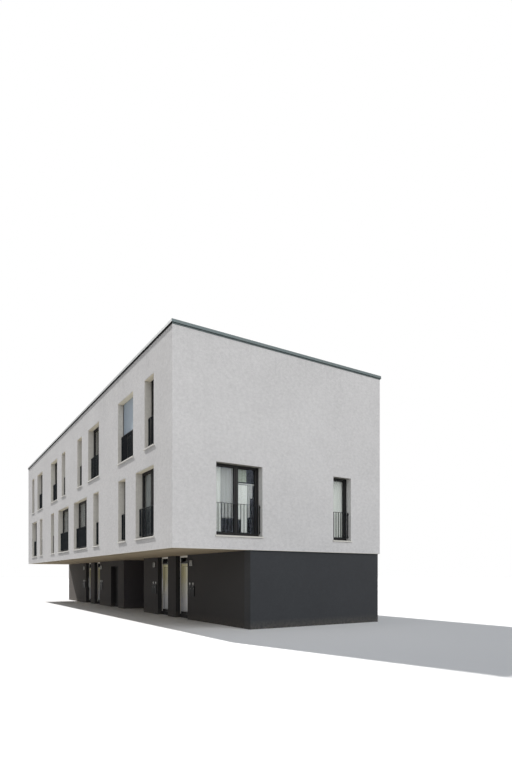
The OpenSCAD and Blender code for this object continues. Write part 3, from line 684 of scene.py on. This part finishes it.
def makeCoping(name, sides, node):
    # a length's end runs back by v at the row's corners, which makes the mitre
    outline = eased(coping["outline"], coping["bends"])
    gap, strip = coping["gap"] / 2, coping["strip"] / 2
    for side in sides:
        half = row["halfL" if side % 2 == 0 else "halfD"]
        joints = np.linspace(-half, half, int(np.ceil(2 * half / coping["length"])) + 1)
        mitre = half - outline[:, 0]
        starts, ends = [-mitre, *(joints[1:-1] + gap)], [*(joints[1:-1] - gap), mitre]
        onSide(name, side, *(straight(outline, u0, u1) for u0, u1 in zip(starts, ends)))
        for u in joints[1:-1]:
            onSide(name + "Backing", side, straight(coping["inner"], u - strip, u + strip))
    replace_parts(makePiece(name, "copingSheet"), node)
    makePiece(name + "Backing", "frameCoat")


makeCoping("copingLong", (0, 2), "coping_long_sides")
makeCoping("copingEnds", (1, 3), "coping_gables")
piles["wallBead"].append(rowRing(edges["bead"]))
makePiece("wallBead", "sillSheet")
for side in range(4):
    name, half = (("copingShadowStripLong", row["halfL"]), ("copingClosureEnds", row["halfD"]))[side % 2]
    reach = half - np.array(edges["closure"])[:, 0]
    onSide(name, side, straight(edges["closure"], -reach, reach))
# painted shadow: the closure strip on the long sides is black rubber, standing for the shadow under the
# coping
makePiece("copingShadowStripLong", "sealRubber")
makePiece("copingClosureEnds", "copingSheet")
piles["roofUpstand"].append(rowRing(edges["upstand"]))
makePiece("roofUpstand", "roofMembrane")
piles["roofClamp"].append(rowRing(eased(edges["clamp"], 0.001, 2)))
makePiece("roofClamp", "sillSheet")

# Roof gravel: a closed bed whose top is a field of stones
gravelBed = {
    "pitch": 0.05, "edge": 0.004, "sunk": 0.018, "foot": 0.002, "stones": 0.016, "dunes": 0.005, "seed": 11,
}


def makeGravelBed():
    # height(x, y) = level + uneven stones (seeded, a little smoothed) + two long low waves
    low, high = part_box("roof_gravel")
    rng = np.random.default_rng(gravelBed["seed"])
    edge, pitch = gravelBed["edge"], gravelBed["pitch"]
    x = np.linspace(low.x + edge, high.x - edge, int((high.x - low.x) / pitch))
    y = np.linspace(low.y + edge, high.y - edge, int((high.y - low.y) / pitch))
    stones = rng.random((len(x), len(y)))
    stones = 0.62 * stones + 0.19 * np.roll(stones, 1, 0) + 0.19 * np.roll(stones, 1, 1)
    wave = np.sin(1.3 * x)[:, None] * np.sin(0.9 * y + 0.6) + 0.6 * np.sin(0.45 * x + 1.1)[:, None]
    height = high.z - gravelBed["sunk"] + gravelBed["stones"] * stones + gravelBed["dunes"] * wave
    top = np.stack((x[:, None] + 0 * height, y + 0 * height, height), -1)
    foot = top[:, [-1, 0]]
    foot[:, :, 2] = low.z + gravelBed["foot"]
    piles["gravelBed"].append(skin(np.concatenate((top, foot), 1)))
    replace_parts(makePiece("gravelBed", "gravelStones", smoothTo=70), "roof_gravel")


makeGravelBed()
print("coping, bead, roof edge and gravel made")

# Windows: seals, glazing beads, drain caps and handles; rendered lining in front of the shutter slot;
# upstands at the sills' ends; wall plates and round-headed screws at the railings' lugs
trim = {
    "seal": [(0, 0.2500), (0.004, 0.2535), (0.008, 0.2620), (0.008, 0.2645), (0, 0.2645)],
    "bead": [(0, 0.2875), (0.016, 0.2875), (0.0155, 0.2960), (0.0060, 0.3085), (0, 0.3095)],
    "cap": (0.015, 0.005), "capUp": 0.041, "capsAt": (0.2, 0.8),
    "handleUp": 1.10, "rose": (0.014, 0.036), "grip": (0.0105, 0.06475), "gripDown": 0.05325,
}
headLining = {"high": 0.048, "deep": 0.200, "arris": 0.003}
sillTrim = {"thick": 0.003, "rise": 0.013, "bite": 0.001, "front": 0.002, "back": 0.2285,
            "level": 0.004, "slope": 0.018 / 0.265, "nose": 0.035}
railTrim = {"plate": 0.0035, "half": 0.027, "deep": (0.121, 0.159), "lugs": (0.150, 0.940),
            "head": [(0, 0.003), (0.0055, 0.003), (0.00495, 0.0052), (0.002, 0.0062), (0, 0.0062)],
            "screwUp": 0.0185}
for side, left, wide, sill in windows:
    head, right = sill + row["opening"], left + wide
    clear = wide - 2 * row["frame"]
    leaves = 1 if wide < row["twoLeaf"] else 2
    across = (clear - (leaves - 1) * row["mullion"]) / leaves
    rim = row["frame"] + row["sash"]
    for n in range(leaves):
        start = left + row["frame"] + n * (across + row["mullion"])
        a, b = start + row["sash"], start + across - row["sash"]
        onSide("paneSeals", side, frameRing(a, b, sill + rim, head - rim, trim["seal"]))
        onSide("glazingBeads", side, frameRing(a, b, sill + rim, head - rim, trim["bead"]))
        for part in trim["capsAt"]:
            u, z = start + part * across, sill + trim["capUp"]
            onSide("drainCaps", side, softBlock(u, z, *trim["cap"], 0.2265, 0.2305, 0.0018))
    u, z = start + row["sash"] / 2, sill + trim["handleUp"]
    onSide("windowHandles", side, softBlock(u, z, *trim["rose"], 0.3095, 0.3200, 0.004),
           turned([(0, 0.318), (0.009, 0.318), (0.008, 0.345), (0, 0.345)], (u, 0, z), (0, 1, 0)),
           softBlock(u, z - trim["gripDown"], *trim["grip"], 0.343, 0.358, 0.005))
    low, deep, arris = head - headLining["high"], headLining["deep"], headLining["arris"]
    outline = [(0, head), (0, low + arris), (arris * 0.3, low + arris * 0.3), (arris, low), (deep, low),
               (deep, head)]
    onSide("headLinings", side, straight(outline, left, right))
    front, back, bite, rise = (sillTrim[key] for key in ("front", "back", "bite", "rise"))
    outline = [(v, sill + sillTrim["level"] + sillTrim["slope"] * (v + sillTrim["nose"]) + up)
               for v, up in ((front, -bite), (back, -bite), (back, rise), (front, rise))]
    for u in (left, right - sillTrim["thick"]):
        onSide("sillUpstands", side, straight(outline, u, u + sillTrim["thick"]))
    half = railTrim["plate"] / 2
    for edge, way in ((left, 1), (right, -1)):
        for z in (sill + lug for lug in railTrim["lugs"]):
            plate = softBlock(edge + way * half, z, half, railTrim["half"], *railTrim["deep"], 0.0012, 1)
            onSide("railPlates", side, plate)
            for up in (-railTrim["screwUp"], railTrim["screwUp"]):
                onSide("railScrews", side, turned(railTrim["head"], (edge, 0.140, z + up), (way, 0, 0), 8))
makePiece("paneSeals", "sealRubber")
makePiece("glazingBeads", "frameCoat")
makePiece("drainCaps", "frameCoat")
makePiece("windowHandles", "frameCoat")
makePiece("headLinings", "wallRender", smoothTo=25)
makePiece("sillUpstands", "sillSheet")
makePiece("railPlates", "railingCoat")
makePiece("railScrews", "brushedSteel")

# Roller shutter: bowed slats in one curtain, end bar and rubber lip
shutter = {"middle": 8.09, "half": 0.8075, "top": 7.960, "pitch": 0.040, "slats": 30,
                "front": 0.2070, "hollow": 0.0045, "back": 0.2190}


def makeShutter():
    # front(s) = deepest hollow less a bow of sin(pi s)^0.6 on each slat, flat back
    middle, half, top, slats = (shutter[key] for key in ("middle", "half", "top", "slats"))
    s = np.linspace(0, 1, 9)[:-1]
    bow = np.tile(np.sin(np.pi * s) ** 0.6, slats)
    front = shutter["front"] + shutter["hollow"] * (1 - bow)
    z = top - shutter["pitch"] * (np.arange(slats)[:, None] + s).ravel()
    foot = top - shutter["pitch"] * slats
    ends = [(front[0], foot), (shutter["back"], foot), (shutter["back"], top)]
    outline = np.concatenate((np.stack((front, z), -1), ends))
    onSide("shutterCurtain", 0, straight(outline, middle - half, middle + half))
    onSide("shutterEndBar", 0, softBlock(middle, foot + 0.020, half - 0.02, 0.026, 0.2050, 0.2210, 0.003))
    onSide("shutterLip", 0, softBlock(middle, foot - 0.008, half - 0.03, 0.008, 0.2085, 0.2165, 0.003))
    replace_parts(makePiece("shutterCurtain", "slatCoat", smoothTo=50), "roller_shutter")
    makePiece("shutterEndBar", "slatEndCoat")
    makePiece("shutterLip", "sealRubber")


makeShutter()
print("window trim, sills, railings and shutter made")

# Entrance doors: stops in the frames, seals round the panels, locks, thresholds, fanlight bars
doorHinges = [(6.435, 1), (5.615, -1), (-5.615, 1), (-6.435, -1)]  # doorway's hinge edge, way to the lock
storeHinge = (-2.310, 1)
door = {
    "stop": [(0, 0.1970), (0.009, 0.1980), (0.0145, 0.2030), (0.0145, 0.2085), (0.010, 0.2095), (0, 0.2095)],
    "clear": (0.070, 1.050), "storeClear": (0.070, 1.160), "head": 2.170, "storeHead": 2.120,
    "panel": (0.185, 0.932, 0.263, 2.055),
    "seals": [[(0, 0.2150), (0.005, 0.2170), (0.009, 0.2255), (0, 0.2265)],
              [(0, 0.2650), (0.005, 0.2630), (0.009, 0.2545), (0, 0.2535)]],
    "glass": [(0, 0.1910), (0.012, 0.1910), (0.012, 0.2175), (0, 0.2175)],
    "fanlight": (2.240, 2.410), "bar": (0.49, 0.030), "barDown": 0.028,
    "lock": (0.987, 0.88), "storeLock": (1.0975, 0.88), "leafFace": 0.210,
    "screws": (0.12335, 0.99365, 5), "screwsUp": (0.172, 0.235), "kickFace": 0.208,
    "screw": [(0, 0), (0.0045, 0), (0.0038, 0.0018), (0, 0.0024)],
    "ribs": (0.194, 0.266, 25), "ribTops": (0.1548, 0.1563), "plate": (0.268, 0.192), "play": 0.002,
}
outwards = (0, -1, 0)  # from a door's face or the entrance wall


def lockShells(x, z):
    # round rosette with a raised cylinder and its key slot, on a leaf's outer face
    rose = [(0, 0), (0.026, 0), (0.026, 0.005), (0.0235, 0.008), (0.0125, 0.0085), (0.0120, 0.0065),
            (0, 0.0065)]
    core = [(0, 0.006), (0.0085, 0.006), (0.0085, 0.0105), (0.0078, 0.0112), (0, 0.0112)]
    return [turned(profile, (x, door["leafFace"], z), outwards, steps)
            for profile, steps in ((rose, 24), (core, 16))]


ribs = np.linspace(*door["ribs"])
ribTop = np.where(np.arange(len(ribs)) % 2 == 0, *door["ribTops"])
plateFoot = [(v, row["floor"]) for v in door["plate"]]
sillPlate = np.concatenate((np.stack((ribs, ribTop), -1), plateFoot))
for hinge, clear, head in ([(hinge, "clear", "head") for hinge in doorHinges]
                           + [(storeHinge, "storeClear", "storeHead")]):
    left, right = door[clear]
    onDoor("doorStops", hinge, archRing(left, right, row["floor"], door[head], door["stop"]))
    onDoor("doorThresholds", hinge, straight(sillPlate, left + door["play"], right - door["play"]))
for i, hinge in enumerate(doorHinges):
    body = "door_%d" % (i + 1)
    left, right = door["clear"]
    low, high = door["fanlight"]
    onDoor("fanlightSeals", hinge, frameRing(left, right, low, high, door["glass"]))
    bar = softBlock((left + right) / 2, low - door["barDown"], *door["bar"], 0.1845, 0.1915, 0.002)
    onDoor("fanlightBars", hinge, bar)
    onDoor(body + "_seals", hinge, *(frameRing(*door["panel"], outline) for outline in door["seals"]))
    onDoor(body + "_fixings", hinge, *lockShells(*door["lock"]))
    for x in np.linspace(*door["screws"]):
        for z in door["screwsUp"]:
            onDoor(body + "_fixings", hinge, turned(door["screw"], (x, door["kickFace"], z), outwards, 8))
    makePiece(body + "_seals", "sealRubber", body)
    makePiece(body + "_fixings", "brushedSteel", body)
onDoor("store_door_fixings", storeHinge, *lockShells(*door["storeLock"]))
makePiece("store_door_fixings", "brushedSteel", "store_door")
makePiece("doorStops", "sealRubber")
makePiece("doorThresholds", "slatEndCoat")
makePiece("fanlightBars", "frameCoat")
makePiece("fanlightSeals", "sealRubber")

# Beside each door: a lamp, two letter boxes and a bell plate over each; faces are measured from the wall
porch = {
    "aside": 1.49, "boxes": (-0.14, 0.14), "lamp": (0.085, 0.1075), "lampUp": 2.160, "lampFace": -0.060,
    "lampPlate": (0.031, 0.100), "lampBase": 0.006, "bellUp": 1.370, "bellFace": -0.0140, "holes": 0.0065,
    "boxFace": -0.030, "front": (0.127, 0.1545), "frontUp": 1.0635, "flap": 0.097, "lockUp": 1.19,
    "label": (0.040, 0.0085), "labelUp": 1.283, "name": (0.031, 0.023),
    "flapShape": [(-0.0075, 1.2265), (-0.0060, 1.2255), (-0.0012, 1.2650), (-0.0028, 1.2658)],
    "button": [(0, 0), (0.012, 0), (0.012, 0.0025), (0.0105, 0.0032), (0.0100, 0.0022), (0.0092, 0.0045),
               (0.006, 0.0060), (0, 0.0064)],
    "hole": [(0, 0), (0.0020, 0), (0.0018, 0.0005), (0, 0.0006)],
    "lock": [(0, 0), (0.012, 0), (0.012, 0.0035), (0.0105, 0.0048), (0.004, 0.0048), (0.004, 0.0030),
             (0, 0.0030)],
}
holeGrid = np.stack(np.meshgrid(np.arange(4), np.arange(4)), -1).reshape(-1, 2) * porch["holes"]
for hinge in doorHinges:
    x, z, face = porch["aside"], porch["lampUp"], porch["lampFace"]
    (half, high), inset = porch["lamp"], porch["lampBase"]
    onDoor("lampBases", hinge, softBlock(x, z, half - inset, high - inset, -0.014, 0.0, 0.003))
    onDoor("lampCovers", hinge, softBlock(x, z, half, high, face + 0.0045, -0.009, 0.012, 5))
    onDoor("lampPlates", hinge, softBlock(x, z, *porch["lampPlate"], face, face + 0.0065, 0.002))
    for x in (porch["aside"] + step for step in porch["boxes"]):
        z, face, back = porch["bellUp"], porch["bellFace"], porch["bellFace"] + 0.001
        onDoor("nameFields", hinge, softBlock(x, z + 0.019, *porch["name"], face - 0.0022, back, 0.001, 1))
        onDoor("bellButtons", hinge, turned(porch["button"], (x - 0.018, face, z - 0.026), outwards, 20))
        onDoor("bellHoles", hinge, *(turned(porch["hole"], (a, face, b), outwards, 6)
                                     for a, b in holeGrid + (x + 0.004, z - 0.036)))
        face, back, flap = porch["boxFace"], porch["boxFace"] + 0.001, porch["flap"]
        front = softBlock(x, porch["frontUp"], *porch["front"], face - 0.0022, face, 0.001, 1)
        tilt = [(face + out, up) for out, up in porch["flapShape"]]
        onDoor("letterFlaps", hinge, front, straight(eased(tilt, 0.0004, 2), x - flap, x + flap))
        lock = turned(porch["lock"], (x + 0.09, face - 0.002, porch["lockUp"]), outwards, 20)
        onDoor("letterLocks", hinge, lock)
        label = softBlock(x, porch["labelUp"], *porch["label"], face - 0.0016, back, 0.0008, 1)
        onDoor("boxLabels", hinge, label)
makePiece("lampPlates", "slatEndCoat")
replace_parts(makePiece("lampCovers", "opalCover", smoothTo=60), "porch_lamps")
makePiece("lampBases", "slatEndCoat")
makePiece("bellHoles", "sealRubber")
makePiece("bellButtons", "brushedSteel")
makePiece("letterFlaps", "boxCoat")
makePiece("letterLocks", "brushedSteel")
makePiece("nameFields", "namePlate")
makePiece("boxLabels", "slatEndCoat")
print("doors, lamps, bells and letter panels made")

# Curtains: gathered cloth on rods in the window recesses
curtain = {
    "depth": 0.357, "swing": 0.020, "foldWidth": 0.085, "across": 14, "rows": 22, "thick": 0.0008,
    "rod": 0.009, "drop": 0.055, "hem": 0.045, "edge": 0.02, "gathered": 0.20,
    "rose": [(0, 0), (0.017, 0), (0.017, 0.004), (0.012, 0.009), (0, 0.009)],
}
gableCloths = [  # from, to, top, bottom, cloth, seed, depth, swing, fold width
    (-2.650, -2.330, 5.081, 2.960, "whiteCloth", 2.0, 0.357, 0.012, 0.10),
    (-2.320, -1.955, 5.081, 3.460, "greyCloth", 0.7, 0.357, 0.008, 0.15),
    (-1.945, -1.875, 5.081, 3.460, "whiteCloth", 1.1, 0.357, 0.008, 0.07),
    (-1.767, -1.415, 5.081, 4.625, "sageCloth", 3.3, 0.357, 0.008, 0.14),
    (-1.765, -1.622, 4.532, 3.440, "whiteCloth", 1.2, 0.330, 0.009, 0.11),
    (-1.618, -1.398, 4.532, 2.990, "whiteCloth", 0.6, 0.330, 0.009, 0.11),
    (-1.390, -1.300, 4.562, 3.520, "greyCloth", 2.2, 0.330, 0.007, 0.05),
    (-1.295, -1.205, 4.562, 4.130, "greyCloth", 0.2, 0.330, 0.007, 0.05),
]
curtains = []


def hangCloth(side, u0, u1, top, bottom, cloth, seed, depth=curtain["depth"], swing=curtain["swing"],
              foldWidth=curtain["foldWidth"]):
    # across s and down t: v = depth + swing (0.55 + 0.45 t) sin(2 pi folds s + drift), with an uneven hem
    folds = max(3, round((u1 - u0) / foldWidth))
    s = np.linspace(0, 1, folds * curtain["across"] + 1)
    t = np.linspace(0, 1, curtain["rows"])[:, None]
    drift = 0.55 * np.sin(2.1 * t + seed) + 0.35 * np.sin(9.0 * s + 3.0 * t + 1.7 * seed)
    wave = np.sin(2 * np.pi * folds * s + drift)
    v = depth + swing * (0.55 + 0.45 * t) * wave * (0.85 + 0.15 * np.sin(5.0 * s + seed))
    u = u0 + (u1 - u0) * (s + 0.012 * np.sin(4 * np.pi * folds * s) * t) + 0 * t
    z = top + (bottom - top) * t + 0.004 * t * np.sin(7.0 * s + seed)
    grid = np.stack((u, v, z), -1)
    across = np.pad(np.cumsum(np.linalg.norm(np.diff(grid, axis=1), axis=2), 1), ((0, 0), (1, 0)))
    index = np.arange(u.size).reshape(u.shape)
    faces = np.stack((index[1:, :-1], index[1:, 1:], index[:-1, 1:], index[:-1, :-1]), -1).reshape(-1, 4)
    name = "curtain%02d" % (len(curtains) + 1)
    onSide(name, side, (grid.reshape(-1, 3), [faces]))
    piece = makePiece(name, cloth, smoothTo=80, closed=False)
    curtains.append(piece)
    place = np.stack((across, top - z), -1).reshape(-1, 2)
    corner = np.empty(len(piece.data.loops), np.int32)
    piece.data.loops.foreach_get("vertex_index", corner)
    way = piece.data.uv_layers.new(name="clothWay")
    way.data.foreach_set("uv", place[corner].astype(np.float32).ravel())
    solid = piece.modifiers.new("thickness", "SOLIDIFY")
    solid.thickness, solid.offset = curtain["thick"], 0


def hangRod(side, u0, u1, z, depth=curtain["depth"], thick=curtain["rod"]):
    # a straight tube with a round plate against each reveal
    onSide("curtainRods", side, tubeAlong([(u, depth, z) for u in np.linspace(u0, u1, 5)], thick, (0, 0, 1)))
    for u, way in ((u0, 1), (u1, -1)):
        onSide("curtainRods", side, turned(curtain["rose"], (u, depth, z), (way, 0, 0), 16))


def dress(window, cloth, seed, drawn=True):
    # one curtain across the whole window, or one gathered at each side
    side, left, wide, sill = window
    top, bottom = sill + row["opening"] - curtain["drop"], sill + curtain["hem"]
    hangRod(side, left, left + wide, top + 0.004)
    start, end = left + curtain["edge"], left + wide - curtain["edge"]
    pleated = wide * curtain["gathered"]
    spans = [(start, end)] if drawn else [(start, start + pleated), (end - pleated, end)]
    for n, (a, b) in enumerate(spans):
        hangCloth(side, a, b, top, bottom, cloth, seed + n)


hangRod(1, -2.670, -1.030, 5.085)
hangRod(1, -1.772, -1.095, 4.566, depth=0.330, thick=0.022)
for cloth in gableCloths:
    hangCloth(1, *cloth)
dress((1, *gables[1][1], lowSill), "whiteCloth", 3.1)
dress((0, 9.17, 1.64, lowSill), "duskCloth", 0.4)
dress((0, 0.54, 2.34, lowSill), "nightCloth", 1.9)
dress((0, -2.88, 2.34, lowSill), "nightCloth", 2.6)
dress((0, -10.81, 1.64, lowSill), "greyCloth", 5.2, drawn=False)
dress((0, -4.78, 1.64, highSill), "whiteCloth", 0.9)
for openings, sill, start in ((firstLong, lowSill, 0.0), (secondLong, highSill, 0.8)):
    for n, (left, wide) in enumerate(bothEnds(openings)):
        dress((2, left, wide, sill), ("whiteCloth", "greyCloth", "sageCloth")[n % 3], start + 1.2 * n)
dress((3, *gables[3][0], lowSill), "whiteCloth", 2.2)
dress((3, *gables[3][1], lowSill), "greyCloth", 3.7)
makePiece("curtainRods", "rodCoat")
print("curtains hung:", len(curtains))

# Edges of the solids that stay: their triangles are joined, then their corners are eased
easedNodes = {
    0.0015: ("first_window_frames second_window_frames door_frames store_door_frame store_door_leaf "
             "door_1_leaf door_2_leaf door_3_leaf door_4_leaf letter_boxes"),
    0.0012: "shutter_guides bell_plates", 0.0010: "first_railings second_railings",
    0.0008: "first_sills second_sills",
}
for width, names in easedNodes.items():
    for name in names.split():
        join = nodes[name].modifiers.new("join", "WELD")
        join.merge_threshold = 0.00005
        ease = nodes[name].modifiers.new("ease", "BEVEL")
        ease.width, ease.segments, ease.limit_method, ease.angle_limit = width, 2, "ANGLE", np.radians(40)
print("edges eased")

# Light: an even white sky, a lamp that grazes the front, a broad one for the gable, a pale floor
light = {
    "sky": 0.136, "skyTint": (0.84, 0.98, 1.18, 1), "floorSeen": (0.86, 0.86, 0.86, 1),
    "floorBounce": (0.446, 0.436, 0.415, 1), "floorHalf": 300.0,
    "lamps": {  # strength, colour, spread in degrees, way the light travels
        "keyLamp": (4.40, (1.02, 1.0, 0.985), 1.2, (0.69, 0.172, -0.703)),
        "fillLamp": (1.95, (1.0, 1.0, 1.0), 80.0, (-0.86, -0.04, -0.50)),
    },
}
sky = bpy.data.worlds.new("studioSky")
sky.use_nodes = True
scene.world = sky
skyTree = sky.node_tree
skyTree.nodes.clear()
rays = put(skyTree, "LightPath").outputs
mirrored = calc("MAXIMUM", rays["Is Glossy Ray"], rays["Is Transmission Ray"])
seen = calc("MAXIMUM", rays["Is Camera Ray"], mirrored)
skyColour = blended(seen, light["skyTint"], (1, 1, 1, 1))
strength = ranged(seen, 0.0, 1.0, light["sky"], 1.0)
backdrop = put(skyTree, "Background", {"Color": skyColour, "Strength": strength})
put(skyTree, "OutputWorld", {"Surface": backdrop.outputs[0]})

for name, (power, colour, angle, travel) in light["lamps"].items():
    lampData = bpy.data.lights.new(name, "SUN")
    lampData.energy, lampData.color, lampData.angle = power, colour, np.radians(angle)
    lamp = placed(name, lampData)
    lamp.rotation_mode = "QUATERNION"
    lamp.rotation_quaternion = Vector(travel).to_track_quat("-Z", "Y")

floorShader, _ = startFinish("paleFloor", 0.95, 0.1)
seen = put(floorShader, "LightPath").outputs["Is Camera Ray"]
feed(floorShader, Base_Color=blended(seen, light["floorBounce"], light["floorSeen"]))
reach = light["floorHalf"]
floorMesh = bpy.data.meshes.new("floorPlane")
corners = [(-reach, -reach, 0), (reach, -reach, 0), (reach, reach, 0), (-reach, reach, 0)]
floorMesh.from_pydata(corners, [], [(0, 1, 2, 3)])
floorMesh.materials.append(finishes["paleFloor"])
placed("floorPlane", floorMesh)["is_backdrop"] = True
print("sky, lamps and floor set")

low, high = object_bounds()
